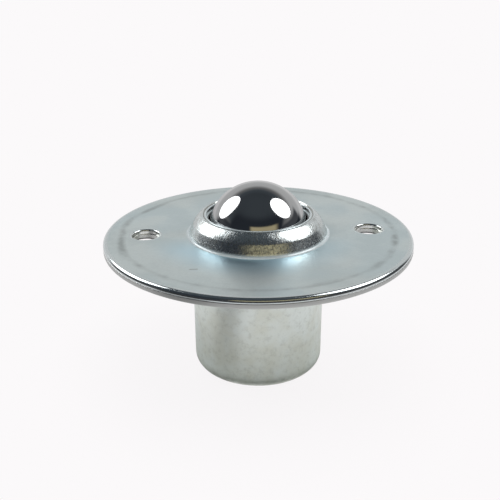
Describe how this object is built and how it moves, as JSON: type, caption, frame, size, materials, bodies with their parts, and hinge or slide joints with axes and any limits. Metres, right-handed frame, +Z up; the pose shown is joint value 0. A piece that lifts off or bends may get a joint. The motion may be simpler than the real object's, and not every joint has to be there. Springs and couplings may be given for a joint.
{
  "type": "ball transfer unit",
  "caption": "Spring-loaded ball transfer unit: a load ball in a raised collar on a round flange with bolt holes, over a deep drawn cup with a race and a spring inside.",
  "frame": {"origin": "centre of the flange's underside, midway between the two mounting holes", "axes": "+Z up through the load ball, square to the flange; the two mounting holes lie on the X axis"},
  "size_m": [0.078, 0.078, 0.0496],
  "materials": {
    "cover_zinc": "bright zinc plate on pressed steel, satin, with a faint press ring and small handling marks",
    "housing_zinc": "dull zinc plate on deep-drawn steel",
    "ball_chrome_steel": "mirror-polished chrome steel",
    "race_steel": "hardened turned steel, oiled",
    "bearing_steel": "polished bearing steel",
    "spring_steel": "oil-tempered spring wire with ground ends"
  },
  "bodies": {
    "housing": {"cover_flange": "cover_zinc", "housing_cup": "housing_zinc", "spring": "spring_steel"},
    "carrier": {"race_cup": "race_steel", "bearing_ball_01": "bearing_steel", "bearing_ball_02": "bearing_steel", "bearing_ball_03": "bearing_steel", "bearing_ball_04": "bearing_steel", "bearing_ball_05": "bearing_steel", "bearing_ball_06": "bearing_steel", "bearing_ball_07": "bearing_steel", "bearing_ball_08": "bearing_steel", "bearing_ball_09": "bearing_steel", "bearing_ball_10": "bearing_steel", "bearing_ball_11": "bearing_steel", "bearing_ball_12": "bearing_steel", "bearing_ball_13": "bearing_steel", "bearing_ball_14": "bearing_steel", "bearing_ball_15": "bearing_steel", "bearing_ball_16": "bearing_steel", "bearing_ball_17": "bearing_steel", "bearing_ball_18": "bearing_steel", "bearing_ball_19": "bearing_steel", "bearing_ball_20": "bearing_steel", "bearing_ball_21": "bearing_steel", "bearing_ball_22": "bearing_steel", "bearing_ball_23": "bearing_steel", "bearing_ball_24": "bearing_steel", "bearing_ball_25": "bearing_steel", "bearing_ball_26": "bearing_steel", "bearing_ball_27": "bearing_steel", "bearing_ball_28": "bearing_steel", "bearing_ball_29": "bearing_steel", "bearing_ball_30": "bearing_steel", "bearing_ball_31": "bearing_steel", "bearing_ball_32": "bearing_steel", "bearing_ball_33": "bearing_steel", "bearing_ball_34": "bearing_steel", "bearing_ball_35": "bearing_steel", "bearing_ball_36": "bearing_steel"},
    "ball": {"main_ball": "ball_chrome_steel"}
  },
  "joints": [
    {"name": "carrier_slide", "type": "slide", "parent": "housing", "child": "carrier", "axis": [0, 0, -1], "range_m": [0, 0.003], "stiffness_N_per_m": 5000, "springref_m": -0.0064, "deforming": ["spring"]},
    {"name": "ball_roll", "type": "hinge", "parent": "carrier", "child": "ball", "pos_m": [0, 0, 0.0027], "axis": [1, 0, 0], "continuous": true}
  ]
}
